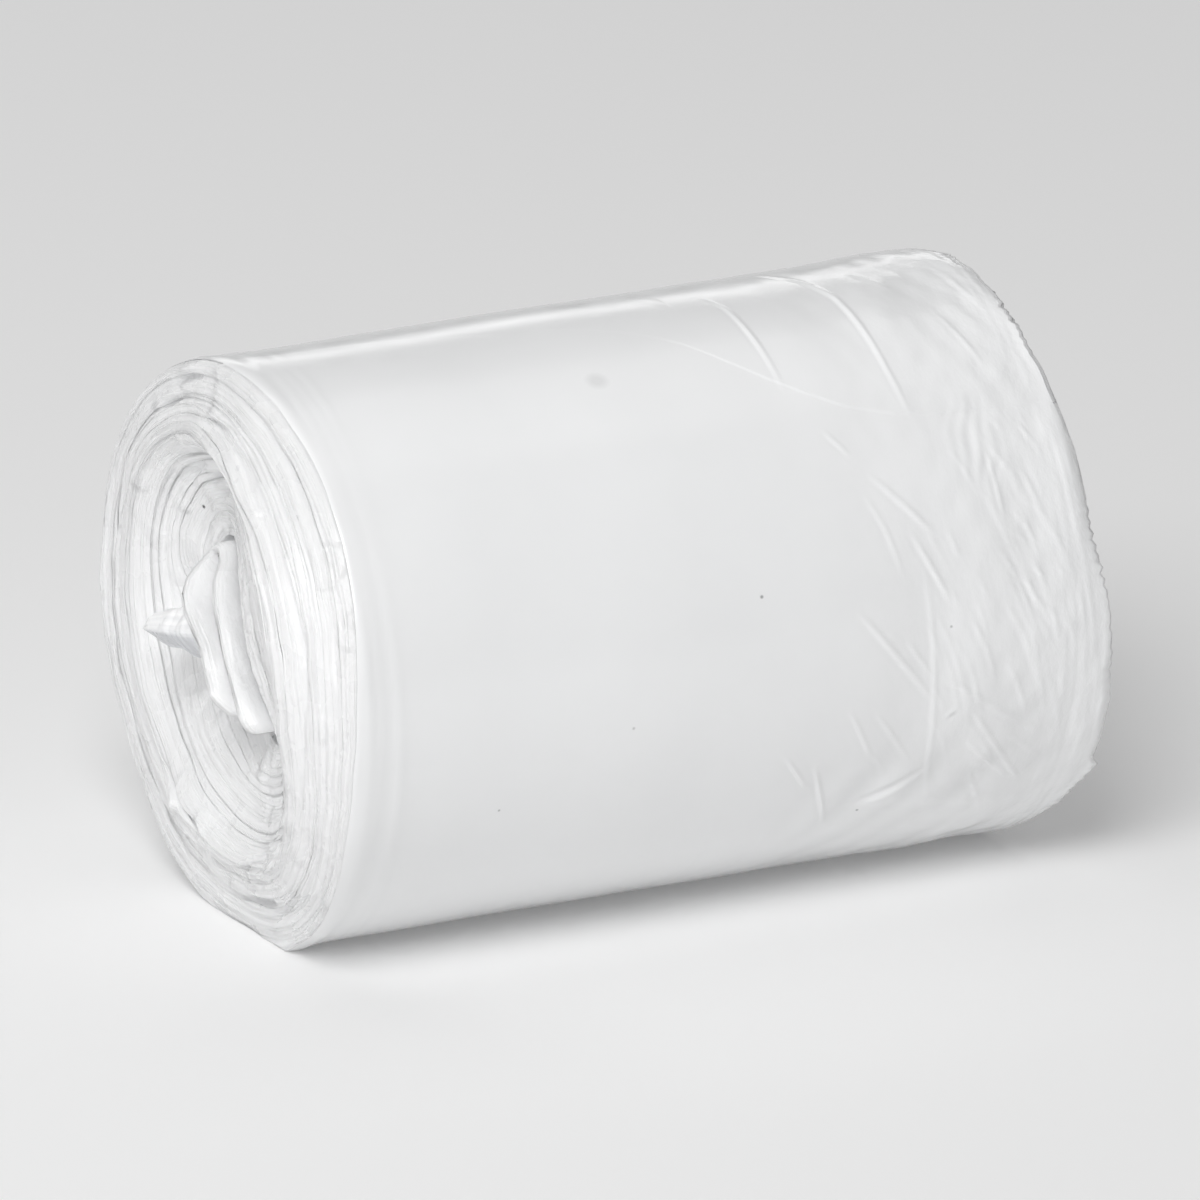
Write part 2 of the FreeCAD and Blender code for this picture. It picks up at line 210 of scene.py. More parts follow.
def add_piece(name, points, faces, outward, material, **layers):
    """A piece from points in mm and its faces. It keeps only the points that they use, and turns
    them round if more of their area, summed as normal . outward, faces inwards. layers are values
    on the points that the material reads."""
    points = np.asarray(points, dtype=float).reshape(-1, 3)
    faces = [list(face) for face in faces]
    used, place = np.unique(np.concatenate(faces), return_inverse=True)
    ends = np.cumsum([len(face) for face in faces])[:-1]
    faces = np.split(place.ravel(), ends)
    kept = points[used]
    corner = np.array([face[:3] for face in faces])
    a, b, c = (kept[corner[:, i]] for i in range(3))
    way = np.cross(b - a, c - b)
    middle = (a + b + c) / 3
    if np.sum(way * outward(middle)) < 0:
        faces = [face[::-1] for face in faces]
    mesh = bpy.data.meshes.new(name)
    mesh.from_pydata((kept * MM).tolist(), [], [face.tolist() for face in faces])
    mesh.shade_smooth()
    for layer, values in layers.items():
        attribute = mesh.attributes.new(layer, "FLOAT", "POINT")
        attribute.data.foreach_set("value", np.asarray(values, dtype=np.float32).ravel()[used])
    mesh.materials.append(material)
    piece = bpy.data.objects.new(name, mesh)
    bpy.context.scene.collection.objects.link(piece)
    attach(piece, "root")
    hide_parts("bag_roll")
    return piece


def film(name, tint, shadow_tint, roughness, fine_height, layer_height, glow, specks):
    """White polyethylene film as a material with an uneven gloss. The layer value, in turns, draws
    the film's own edges on a bundle; shade is painted shade, which runs the colour from shadow_tint
    to tint; crumple scales the fine creasing. glow is how far light travels inside, in mm, and 0
    keeps it out. specks are grains of dirt: place in mm, size and how much of the tint is left there."""
    material = bpy.data.materials.new(name)
    material.use_nodes = True
    nodes, links = material.node_tree.nodes, material.node_tree.links
    shader = nodes["Principled BSDF"]
    shader.inputs["Subsurface Weight"].default_value = 0.5 if glow else 0
    shader.inputs["Subsurface Radius"].default_value = (1.0, 1.0, 1.0)
    shader.inputs["Subsurface Scale"].default_value = glow * MM
    shader.inputs["IOR"].default_value = 1.5

    def add(kind, **values):
        node = nodes.new(kind)
        for key, value in values.items():
            setattr(node, key, value)
        return node

    def noise(vector, scale, detail):
        node = add("ShaderNodeTexNoise")
        node.inputs["Scale"].default_value = scale
        node.inputs["Detail"].default_value = detail
        links.new(vector, node.inputs["Vector"])
        return node.outputs["Fac"]

    def spread(value, low, high, to_low, to_high):
        node = add("ShaderNodeMapRange")
        node.inputs["From Min"].default_value = low
        node.inputs["From Max"].default_value = high
        node.inputs["To Min"].default_value = to_low
        node.inputs["To Max"].default_value = to_high
        links.new(value, node.inputs["Value"])
        return node.outputs["Result"]

    def times(first, second):
        node = add("ShaderNodeMath", operation="MULTIPLY")
        for socket, value in zip(node.inputs, (first, second)):
            if isinstance(value, (int, float)):
                socket.default_value = value
            else:
                links.new(value, socket)
        return node.outputs[0]

    where = add("ShaderNodeTexCoord").outputs["Object"]
    shade = add("ShaderNodeAttribute", attribute_name="shade").outputs["Fac"]
    layer = add("ShaderNodeAttribute", attribute_name="layer").outputs["Fac"]
    crumple = add("ShaderNodeAttribute", attribute_name="crumple").outputs["Fac"]

    film_place = add("ShaderNodeCombineXYZ")
    links.new(times(layer, FILMS_PER_TURN), film_place.inputs["X"])
    drift = add("ShaderNodeVectorMath", operation="SCALE")
    links.new(where, drift.inputs[0])
    drift.inputs["Scale"].default_value = FILM_DRIFT
    film_way = add("ShaderNodeVectorMath", operation="ADD")
    links.new(film_place.outputs[0], film_way.inputs[0])
    links.new(drift.outputs[0], film_way.inputs[1])
    edges = noise(film_way.outputs[0], 1.0, 2)

    # Painted shade: the shade value, times the noise of the film's edges, mixes shadow_tint into tint.
    ramp = add("ShaderNodeMix", data_type="RGBA")
    ramp.inputs[6].default_value = (*shadow_tint, 1)
    ramp.inputs[7].default_value = (*tint, 1)
    links.new(times(shade, spread(edges, 0.33, 0.62, 0.70, 1.0)), ramp.inputs[0])
    colour = ramp.outputs[2]
    for place, size, left in specks:
        away = add("ShaderNodeVectorMath", operation="DISTANCE")
        links.new(where, away.inputs[0])
        away.inputs[1].default_value = [number * MM for number in place]
        grain = spread(away.outputs["Value"], 0.35 * size * MM, size * MM, left, 1.0)
        darker = add("ShaderNodeMix", data_type="RGBA", blend_type="MULTIPLY")
        darker.inputs[0].default_value = 1.0
        links.new(colour, darker.inputs[6])
        links.new(grain, darker.inputs[7])
        colour = darker.outputs[2]
    links.new(colour, shader.inputs["Base Color"])
    links.new(spread(noise(where, 130, 3), 0.3, 0.7, *roughness), shader.inputs["Roughness"])

    stretch = add("ShaderNodeMapping")
    stretch.inputs["Scale"].default_value = (340, 190, 190)
    stretch.inputs["Rotation"].default_value = (0.3, 0.5, 0.4)
    links.new(where, stretch.inputs["Vector"])
    creases = add("ShaderNodeBump")
    creases.inputs["Distance"].default_value = fine_height * MM
    links.new(times(noise(stretch.outputs[0], 1.0, 4), crumple), creases.inputs["Height"])
    layers = add("ShaderNodeBump")
    layers.inputs["Distance"].default_value = layer_height * MM
    links.new(edges, layers.inputs["Height"])
    links.new(creases.outputs[0], layers.inputs["Normal"])
    links.new(layers.outputs[0], shader.inputs["Normal"])
    return material


NEAR_TAIL = math.radians(97)
NEAR_TURNS = 44
NEAR_COLUMNS = 7
NEAR_SPLIT = 27
TURN_SHARES = station_shares(NEAR_TAIL, -78, 128, 2.2)
# Gaps that stand open: radius, first and last angle above the front, and depth.
NEAR_GAPS = (
    (52.0, 101, 119, 2.2),
    (48.4, 113, 126, 2.4),
    (44.5, 84, 104, 1.4),
    (46.4, -86, -66, 2.6),
    (48.6, -72, -48, 2.0),
    (50.2, -66, -40, 1.5),
    (36.0, 118, 134, 2.4),
    (33.2, 108, 126, 2.0),
    (30.2, 112, 128, 1.6),
    (45.5, 140, 176, 1.2),
    (50.5, 150, 200, 1.2),
    (43.5, -34, 40, 1.0),
    (48.0, -8, 66, 1.0),
    (37.0, -132, -104, 1.8),
)
# The lower edge of the dish's film, and the one below it: angle above the front, and radius.
NEAR_TORN = (
    (-135, -124, -118, -115.5, -111.6, -105, -100, -94, -86, -78, -69, -57, -46, -35),
    (31, 38, 42, 37.2, 36.5, 36.3, 37.3, 38.7, 39.4, 39.3, 37.9, 37, 33.3, 31),
)
NEAR_TORN_BELOW = (
    (-135, -118, -100, -90, -84, -75.5, -72, -66, -60, -50, -40),
    (33, 44, 40.5, 42.5, 41.2, 44, 41, 42.8, 41, 38, 35),
)
# How far the near rim stands out beyond the even form, by angle above the front.
NEAR_TRIM = (
    (-180, -110, -80, -52, -35, -17, 8, 40, 98, 140, 180),
    (0.1, -0.8, -1.6, -2.4, -2.5, -1.9, -0.6, -0.4, -0.5, 0.0, 0.1),
)


def near_look(turn, level, angle, step):
    """Edges that wave with their neighbours and a little alone, over gaps of uneven depth: out =
    together + alone - depth (1 - ridge). On top of that come the gaps that stand open, the lip's
    steep inner side under its top, the torn edges at its foot and a small pocket at the back.
    push is a slow wave from turn to turn, so that some gaps are wider."""
    y, z = across(level, angle)
    radius = np.hypot(y, z)
    degrees = np.degrees(np.arctan2(z, -y))
    in_dish = 1 - smooth(level, 0.5, 0.66)
    together = 0.22 * round_waves(angle, level, 9, 2, 7, 6, 21)
    together = together + 0.06 * round_waves(angle, level, 9, 10, 34, 26, 22)
    alone = 0.20 * waves(turn, 0 * turn, 9, 0.4, 3.2, 23) + 0.09 * waves(turn, 0 * turn, 9, 5, 24, 24)
    alone = alone * (1 - 0.45 * in_dish)
    depth = 0.50 + 0.34 * waves(turn, 0 * turn, 7, 0.21, 0.94, 25)
    depth = depth + 0.16 * waves(turn, 0 * turn, 7, 1.2, 6.3, 26)
    deep = smooth(waves(turn, 0 * turn, 9, 0.3, 1.7, 29), 0.9, 1.9)
    quiet = smooth(np.abs(degrees - 10), 80, 110) * (1 - smooth(level, 0.5, 0.7))
    from_low_back = (degrees + 140 + 180) % 360 - 180
    calm = (1 - smooth(np.abs(from_low_back), 62, 88)) * in_dish
    depth = (np.clip(depth, 0.10, 1.2) + 0.55 * deep) * (1 - 0.45 * quiet) * (1 - 0.75 * calm)
    depth = depth * (0.40 - 0.08 * in_dish)
    out = together + alone * (1 - 0.3 * calm) - depth * (1 - ridge_shape(step))
    for gap_radius, first, last, gap_depth in NEAR_GAPS:
        off = (degrees - (first + last) / 2 + 180) % 360 - 180
        along = np.clip(1 - (2 * off / (last - first)) ** 2, 0, 1) ** 1.4
        out = out - 0.85 * gap_depth * along * bump(radius, gap_radius, 0.7)
        out = out + 0.3 * gap_depth * along * bump(radius, gap_radius + 1.5, 0.8)
    top = smooth(degrees, 48, 70) * (1 - smooth(degrees, 112, 128))
    out = out + 1.5 * top * bump(radius, 40.5, 1.6) - 2.6 * top * bump(radius, 33, 4.5)
    foot = smooth(-degrees, 30, 50) * (1 - smooth(-degrees, 112, 130))
    torn, below = np.interp(degrees, *NEAR_TORN), np.interp(degrees, *NEAR_TORN_BELOW)
    terrace = (1 - smooth(radius, torn - 0.4, torn + 0.5)) * smooth(radius, 25, 36)
    second = (1 - smooth(radius, below - 0.4, below + 0.5)) * smooth(radius, 27, 40)
    out = out + foot * (1.3 * terrace + 0.8 * second)
    low_side = smooth(-degrees, 20, 60) * (1 - smooth(-degrees, 105, 170))
    out = out + 3.4 * bump(radius, 23, 8) * low_side
    from_pocket = (degrees - 172 + 180) % 360 - 180
    out = out - 2.6 * bump(radius, 26, 3.2) * bump(from_pocket, 0, 12)
    out = out + np.interp(degrees, *NEAR_TRIM) * smooth(level, LIP_LEVEL, 1)
    rim = np.clip((level - RIM_LEVEL) / (1 - RIM_LEVEL), 0, 1)
    out = out * (1 - 0.35 * rim) - RIM_ROUND * rim**3
    push = 0.24 * waves(turn, 0 * turn, 8, 0.23, 0.97, 27)
    push = push + 0.09 * round_waves(angle, level, 8, 3, 12, 12, 28)
    push = push + 0.04 * foot * waves(turn, 0 * turn, 8, 5, 19, 32)
    push = push * (1 - 0.6 * calm)
    return out, push * np.clip((1 - level) * 10, 0, 1) * np.clip(level * 12, 0, 1)


def ring_shade(level, angle, step, seed):
    """Painted shade: how light a place is coloured, 0.45 + 0.50 ridge^0.7, so darker, 0.45, down in a
    gap between turns and 0.95 on an edge, with slow changes of 0.10 round the roll."""
    slow = round_waves(angle, level, 7, 1, 9, 30, seed)
    return np.clip(0.45 + 0.50 * ridge_shape(step) ** 0.7 + 0.10 * slow, 0, 1)


def hollow(ring, end):
    """The hollow inside the first turn: from its edge, row by row, straight in to a floor 14 mm
    behind the edge, with the floor's middle. At the hollow's low end the film fills it up to 1 mm
    behind the edge. The last row lies on the first at the floor."""
    rows = len(ring)
    spin = np.linspace(0, 1, rows)[:, None]
    floor = ring.copy()
    long_way = ring[:, 1] * math.sin(SLANT) + (ring[:, 2] - AXIS_HEIGHT) * math.cos(SLANT)
    filled = (HOLLOW_DEPTH - 1) * (1 - smooth(long_way, -11, -4))
    floor[:, 0] = ring[:, 0].mean() - end * (HOLLOW_DEPTH - filled)
    floor[:, 1:] += (ring[0, 1:] - ring[-1, 1:]) * spin
    parts = [ring + (floor - ring) * share for share in (0, 0.12, 0.3, 0.6, 1)]
    middle = floor[:-1].mean(axis=0)
    parts += [middle + (floor - middle) * share for share in (0.66, 0.33, 0.02)]
    return np.stack(parts, axis=1)


def end_pieces(names, points, place, level, angle, turns, columns, end, split, material, seed):
    """An end's two pieces. The inner one takes the turns up to number split, with the hollow's
    lining and the web's inner end, and the outer one takes the rest. The inner end is one face: out
    over the first turn's edge, down the lining's last row and back up its first one."""
    def outward(middle):
        return np.broadcast_to((end, 0, 0), middle.shape)

    step = np.broadcast_to((np.arange(columns) / columns)[None, :], level.shape)
    # Painted shade, darker down in the gaps between the turns.
    shade = ring_shade(level, angle, step, seed)
    crumple = 1 + 2.2 * smooth(round_waves(angle, level, 8, 5, 24, 30, seed + 1), 0.7, 1.6)
    add_piece(
        names[1], points, ring_faces(split, turns, columns), outward, material,
        shade=shade, layer=place, crumple=crumple,
    )
    lining = hollow(points[: STATIONS + 1, 0], end)
    deep = lining.shape[1]
    base = points.shape[0] * columns
    lining_faces = base + grid_faces(STATIONS + 1, deep)
    last = base + STATIONS * deep
    free_end = [base] + list(range(1, columns)) + [last, last + 1, last + 2, last + 3, base + 4]
    free_end += [base + 3, base + 2, base + 1]
    middle = [base + deep - 1 + row * deep for row in range(STATIONS)]
    faces = [*ring_faces(0, split, columns), *lining_faces, free_end, middle[::-1]]
    # Painted shade on the hollow's lining: darker from 0.85 at its edge to 0.5 deep at its floor.
    values = {
        "shade": np.concatenate([shade.ravel(), np.tile(np.linspace(0.85, 0.5, deep), STATIONS + 1)]),
        "layer": np.concatenate([place.ravel(), np.zeros(lining.shape[0] * deep)]),
        "crumple": np.concatenate([crumple.ravel(), np.ones(lining.shape[0] * deep)]),
    }
    add_piece(
        names[0], np.concatenate([points.reshape(-1, 3), lining.reshape(-1, 3)]), faces, outward,
        material, **values,
    )


# A grain of dirt in the dish, as place, size in mm and the tint left.
edge_grain = ((-72.3, 21.6, 74.6), 0.5, 0.12)
edge_film = film(
    "film_edges", (0.92, 0.923, 0.928), (0.86, 0.863, 0.87), (0.20, 0.38), 0.30, 0.30, 7.0,
    (edge_grain,),
)
near_points, near_place, near_level, near_angle = rings(
    NEAR_TAIL, -1, NEAR_TURNS, NEAR_COLUMNS, TURN_SHARES, near_look
)
near_sag = bump(near_points[..., 1], SAG_Y, SAG_WIDTH) * smooth(near_level, RIM_LEVEL, 1)
near_sag = near_sag * (near_points[..., 2] < SAG_BELOW)
near_points[..., 2] = np.maximum(near_points[..., 2] - near_sag, 0.02)
end_pieces(
    ("near_inner_turns", "near_outer_turns"), near_points, near_place, near_level, near_angle,
    NEAR_TURNS, NEAR_COLUMNS, -1, NEAR_SPLIT, edge_film, 33,
)


# The turns at the far end.
# The same web ends here in the opposite form: its turns lie deep where they stand out at the near end.
# Its slack rim spreads out at the front and low down.
FAR_TAIL = math.radians(45)
FAR_TURNS = 30
FAR_COLUMNS = 6
FAR_SPLIT = 18
# How far the far rim stands out beyond the even form, by angle above the front.
FAR_TRIM = (
    (-180, -120, -90, -73, -60, -48, -39, -30, -20, -6, 5, 21, 35, 53, 66, 96, 108, 180),
    (0, -0.6, -1.8, -2.4, -2.1, -0.3, 0.6, -0.3, -1.2, -1.3, -0.9, -1.2, 0.9, 0.7, 0.2, 0.9, 0.8, 0),
)


def far_look(turn, level, angle, step):
    """Edges and gaps as at the near end, but evener, with the far rim's own outline: ragged by
    0.13 and 0.17 mm waves, and a small corner that stands out by 1.4 mm."""
    y, z = across(level, angle)
    degrees = np.degrees(np.arctan2(z, -y))
    out = 0.25 * round_waves(angle, level, 9, 2, 9, 8, 41)
    out = out + 0.05 * round_waves(angle, level, 9, 12, 40, 30, 42)
    out = out + 0.20 * waves(turn, 0 * turn, 9, 0.6, 9, 43)
    depth = np.clip(0.7 + 0.35 * waves(turn, 0 * turn, 7, 0.6, 4.7, 44), 0.2, 1.6)
    out = out - depth * (1 - ridge_shape(step))
    out = out + np.interp(degrees, *FAR_TRIM) * smooth(level, 0.8, 1)
    rim = np.clip((level - RIM_LEVEL) / (1 - RIM_LEVEL), 0, 1)
    uneven = 0.5 + 0.5 * np.clip(round_waves(angle, level, 7, 3, 14, 40, 49), -1, 1)
    ragged = 0.13 * round_waves(angle, level, 11, 4, 40, 90, 48)
    ragged = ragged + 0.17 * uneven * round_waves(angle, level, 9, 70, 170, 200, 40)
    out = out * (1 - 0.2 * rim) + ragged * smooth(level, 0.86, 0.96) - 0.7 * RIM_ROUND * rim**3
    out = out + 1.4 * smooth(level, 0.93, 1) * bump(degrees, -35.5, 2.4)
    push = 0.30 * waves(turn, 0 * turn, 8, 0.23, 0.97, 45)
    push = push + 0.08 * round_waves(angle, level, 8, 3, 12, 12, 47)
    return out, push * np.clip((1 - level) * 10, 0, 1) * np.clip(level * 12, 0, 1)


far_points, far_place, far_level, far_angle = rings(
    FAR_TAIL, 1, FAR_TURNS, FAR_COLUMNS, TURN_SHARES, far_look
)
end_pieces(
    ("far_inner_turns", "far_outer_turns"), far_points, far_place, far_level, far_angle,
    FAR_TURNS, FAR_COLUMNS, 1, FAR_SPLIT, edge_film, 46,
)


# The outer turn.
# The last bag's film lies smooth and glossy round the roll, held only by its own cling.
# Its free edge runs slanting over the top, and towards the far end it is creased and slack.

# The free edge: place along the roll, and angle above the front.
TAIL_LINE = (
    (-75, -50, -25, -10, 0, 8, 14, 20, 26, 32, 42, 51, 63, 75),
    (97, 95, 90, 85, 80, 73.5, 66.5, 60.2, 55.1, 51.2, 47.6, 46.2, 45.5, 45),
)
# Creases: height, width, and points by place along the roll and angle above the front.
CREASES = (
    (0.24, 0.8, ((19.9, 90.7), (21.8, 83.4), (22.0, 69.7), (22.1, 57.4))),
    (0.27, 0.9, ((35.7, 105.5), (41.1, 91.6), (43.3, 81), (43.6, 70.3), (43.8, 58.4), (44.4, 47.4))),
    (0.16, 0.8, ((26.3, 46.4), (29.8, 40.8))),
    (0.24, 0.9, ((33, 35.5), (43.1, 22.6))),
    (0.24, 0.9, ((38.4, 23.3), (44.9, 8.9))),
    (0.16, 0.7, ((57, 38.4), (57.5, 23.2))),
    (0.26, 0.9, ((26.1, 9.4), (41.6, -10.8))),
    (0.16, 0.8, ((35.7, 2.4), (40.5, -5))),
    (0.28, 0.9, ((43.1, -6.1), (64.5, -21.5))),
    (0.34, 0.8, ((48.9, -13.2), (63.5, -35.1))),
    (0.22, 0.8, ((58.7, -21.9), (66.6, -28.9))),
    (0.28, 0.8, ((49.7, -21.7), (60.7, -33.5))),
    (0.14, 1.0, ((40.1, 15.7), (41, 1.5), (41.6, -10.8), (42.4, -24.6), (44.7, -37.9))),
    (0.34, 0.8, ((18.4, -22.5), (24.2, -39.2))),
    (0.26, 0.8, ((11.7, -18.5), (17.5, -27.1))),
    (-0.45, 1.3, ((28.9, -34.8), (42, -27.4))),
    (0.30, 0.5, ((44.1, -15.1), (45.4, -13.9), (46.6, -13.2))),
    (0.12, 1.1, ((71, 45.8), (71.5, 25), (73.3, 5.2), (75.5, -16.6))),
    (0.24, 0.9, ((50.4, 91.6), (54.8, 81.2))),
    (0.20, 0.9, ((11.5, 94.9), (12.1, 87.3))),
    (0.18, 0.7, ((65.4, 41.3), (66.4, 37.9))),
    (0.14, 0.9, ((54, 30), (60, 12), (68, -4))),
    (0.14, 0.9, ((63, 34), (66, 20))),
    (0.16, 0.8, ((30, -12), (38, -24))),
    (0.16, 0.8, ((24, -10), (30, -22))),
    (0.16, 0.8, ((52, -30), (58, -44))),
    (0.14, 0.9, ((60, 70), (63, 55))),
    (0.14, 0.9, ((66, 92), (69, 70))),
)
CREASE_HEIGHT, CREASE_WIDTH = 0.95, 0.56
SMALL_CREASES, LONGER_ONES = 56, 24
# Faint bands along the near rim: place along the roll, and height.
NEAR_BANDS = (
    (-75.4, 0.16), (-73.6, 0.13), (-71.8, 0.16), (-69.9, 0.10), (-67.5, 0.11), (-64.6, 0.07),
)
# Dirt: place along the roll, angle above the front, size in mm and the tint left.
GRAINS = (
    (6.3, 15.9, 0.45, 0.45),
    (44.6, 4.2, 0.45, 0.4),
    (-21, -6, 0.5, 0.5),
    (-12.4, 66.6, 2.6, 0.88),
    (30.5, -37, 0.4, 0.5),
    (-47, -20, 0.35, 0.6),
)
# How far the film lies above the winding, and how far its free edge laps over where it began.
FILM_LIFT = 0.15
TAIL_LAP = 0.35


def crease(x, around, height, width, line):
    """A crease along a line of points: height sin(pi q)^0.6 (exp(-(d / width)^2) - trough), with the
    distance d to the line and the share q of its length. The trough is 0.45 exp(-((d - 1.9 width) /
    (1.2 width))^2) on one side only."""
    line = np.array([(place, math.radians(degrees) * RADIUS) for place, degrees in line])
    lengths = np.hypot(*np.diff(line, axis=0).T)
    nearest = np.full(x.shape, 1e9)
    side = np.zeros(x.shape)
    share = np.zeros(x.shape)
    passed = 0
    for start, way, length in zip(line[:-1], np.diff(line, axis=0), lengths):
        t = np.clip(((x - start[0]) * way[0] + (around - start[1]) * way[1]) / length**2, 0, 1)
        off_x, off_s = x - start[0] - t * way[0], around - start[1] - t * way[1]
        distance = np.hypot(off_x, off_s)
        closer = distance < nearest
        nearest = np.where(closer, distance, nearest)
        side = np.where(closer, np.sign(off_x * way[1] - off_s * way[0]) * distance, side)
        share = np.where(closer, (passed + t * length) / lengths.sum(), share)
        passed += length
    taper = np.sin(np.pi * np.clip(share, 0.02, 0.98)) ** 0.6
    near_line = np.exp(-((nearest / (3 * width)) ** 2))
    trough = 0.45 * bump(side, 1.9 * width, 1.2 * width) * near_line
    return height * taper * (bump(nearest, 0, width) - trough)


def skin_height(x, angle):
    """How far the outer turn lies off an even cylinder, as a sum: slow waves that grow towards the
    far end, creases, small ones by a seeded draw, ripples below the free edge, faint bands along
    both rims and the slack low down."""
    around = ((angle + np.pi) % (2 * np.pi) - np.pi) * RADIUS
    far = smooth(x, 5, 60)
    height = 0.10 * waves(x / 40, around / 40, 8, 0.4, 1.2, 51)
    height += 0.17 * far * waves(x / 20, around / 28, 9, 0.4, 1.3, 52)
    height += 0.05 * smooth(x, 20, 70) * waves(x / 6, around / 9, 9, 0.5, 1.4, 53)
    for tall, width, line in CREASES:
        height += crease(x, around, CREASE_HEIGHT * tall, CREASE_WIDTH * width, line)
    draw = np.random.default_rng(55)
    for small in range(SMALL_CREASES):
        longer = small < LONGER_ONES
        place = draw.uniform(26, 66) if longer else draw.uniform(44, 71)
        degrees = draw.uniform(-46, 40) if longer else draw.uniform(-10, 44)
        length = draw.uniform(5, 15) if longer else draw.uniform(2, 6)
        slope = draw.uniform(-2.4, -0.7)
        line = (
            (place, degrees),
            (place + length / 3, degrees + slope * length / 2.4),
            (place + length / 1.6, degrees + slope * length),
        )
        height += crease(x, around, draw.uniform(0.05, 0.13), 0.5, line)
    patch = bump(x, 55.5, 4.5) * bump(around / RADIUS, math.radians(39), 0.13)
    bend = 2 * waves(x / 9, around / 9, 5, 0.4, 1, 56)
    height += 0.09 * patch * np.sin((x - 0.25 * around) * 2.6 + bend)
    for place, tall in NEAR_BANDS:
        middle = place + 0.9 * np.sin(angle + place) - 2.2 * np.clip(np.cos(angle), 0, 1)
        height += tall * bump(x, middle, 0.7) * (0.7 + 0.3 * np.sin(3 * angle + 5 * place))
    rim = smooth(x, 64, 76)
    height += 0.05 * rim * waves(x / 2.4 + 0.3 * np.sin(3 * angle), around / 60, 6, 0.6, 1.4, 57)
    low = bump(around, math.radians(-38) * RADIUS, 13) * smooth(x, 12, 30) * (1 - smooth(x, 56, 72))
    height += 0.36 * low * waves(x / 9, around / 11, 8, 0.4, 1.1, 54)
    return height


skin_share = np.append(TURN_SHARES, 1.0)[:, None]
skin_nominal = np.concatenate(
    [
        [-75, -74.6],
        np.arange(-74, -62, 0.8),
        np.arange(-61.5, 0, 3.4),
        np.arange(0, 12, 1.2),
        np.arange(12, 74.3, 0.41),
        [74.5, 75],
    ]
)[None, :]
near_ring = near_points[NEAR_TURNS * STATIONS :, 0]
far_ring = far_points[FAR_TURNS * STATIONS :, 0]
skin_tail = np.radians(np.interp(skin_nominal, *TAIL_LINE))
skin_angle = skin_tail - 2 * np.pi * skin_share
skin_angle[-1] += TAIL_LAP / RADIUS
near_pull = 1 - smooth(skin_nominal, -75, -30)
far_pull = smooth(skin_nominal, 30, 75)
skin_x = (
    skin_nominal
    + (near_ring[:, :1] + HALF_WEB) * near_pull
    + (far_ring[:, :1] - HALF_WEB) * far_pull
)
tail_shows = smooth(skin_nominal, 4, 22) * (1 - 0.6 * smooth(skin_nominal, 56, 68))
step_down = TAIL_STEP * (0.08 + 0.92 * tail_shows)
skin_y, skin_z = across(1 - step_down * (1 - skin_share), skin_angle)
inside = np.minimum(smooth(skin_nominal, -75, -73), 1 - smooth(skin_nominal, 73.5, 75))
lift = 1 + inside * (skin_height(skin_x, skin_angle) + FILM_LIFT) / RADIUS
skin = np.stack([skin_x, skin_y * lift, press(skin_z * lift + AXIS_HEIGHT)], axis=-1)
at_near_rim = 1 - smooth(skin_nominal, -74, -66)
skin_sag = bump(skin[..., 1], SAG_Y, SAG_WIDTH) * at_near_rim * (skin[..., 2] < SAG_BELOW)
skin[..., 2] = np.maximum(skin[..., 2] - skin_sag, 0.01)
skin[:, 0] = near_ring
skin[:, -1] = far_ring

grain_places = []
for grain_x, degrees, size, left in GRAINS:
    above = math.radians(degrees)
    grain = (grain_x, -RADIUS * math.cos(above), RADIUS * math.sin(above) + AXIS_HEIGHT)
    grain_places.append((grain, size, left))
skin_film = film(
    "film_outside", (0.93, 0.935, 0.94), (0.90, 0.905, 0.91), (0.18, 0.26), 0.30, 0.0, 0, grain_places
)
add_piece(
    "outer_turn", skin, grid_faces(*skin.shape[:2], round_rows=True),
    lambda middle: (middle - (0, 0, AXIS_HEIGHT)) * (0, 1, 1), skin_film,
    shade=np.ones(skin.shape[:2]), layer=np.zeros(skin.shape[:2]),
    crumple=0.015 + 0.35 * smooth(skin_x, 15, 65) + 0.45 * smooth(skin_x, 55, 74),
)


# The core fold.
# The web's first fold stands in the hollow as two soft leaves, joined by a bend at their top.
# It was wound on a spindle that is gone, and at the near end its stiff leaves stand out.
LEAF_HALF = 1.05
BACK_LEAF, FRONT_LEAF = -0.45, 2.3
BACK_FOOT, FRONT_FOOT = -12.5, -17
BEND_LONG = 19.3
# The share of a section that its soft edge takes, and how far that rounds off.
TIP_SHARE = 0.72
TIP_ROUND = 3.0


def fold_path(count):
    """The fold's middle line: up the back leaf, over the bend and down the front one. It gives the
    length passed, the place along the hollow's long way and towards the front, and the way across
    the line."""
    bend = (FRONT_LEAF - BACK_LEAF) / 2
    lengths = np.array([BEND_LONG - BACK_FOOT, np.pi * bend, BEND_LONG - FRONT_FOOT])
    passed = np.linspace(0, lengths.sum(), count)
    back = np.clip(passed, 0, lengths[0])
    turn = np.clip((passed - lengths[0]) / bend, 0, np.pi)
    front = np.clip(passed - lengths[0] - lengths[1], 0, None)
    long_way = BACK_FOOT + back + bend * np.sin(turn) - front
    short_way = BACK_LEAF + bend * (1 - np.cos(turn))
    return passed, long_way, short_way, np.stack([np.sin(turn), -np.cos(turn)], axis=-1)


def leaf_place(long_way, short_way):
    """(y, z) of a place given along the hollow's long way and towards the front."""
    y = long_way * math.sin(SLANT) - short_way * math.cos(SLANT)
    return y, long_way * math.cos(SLANT) + short_way * math.sin(SLANT) + AXIS_HEIGHT


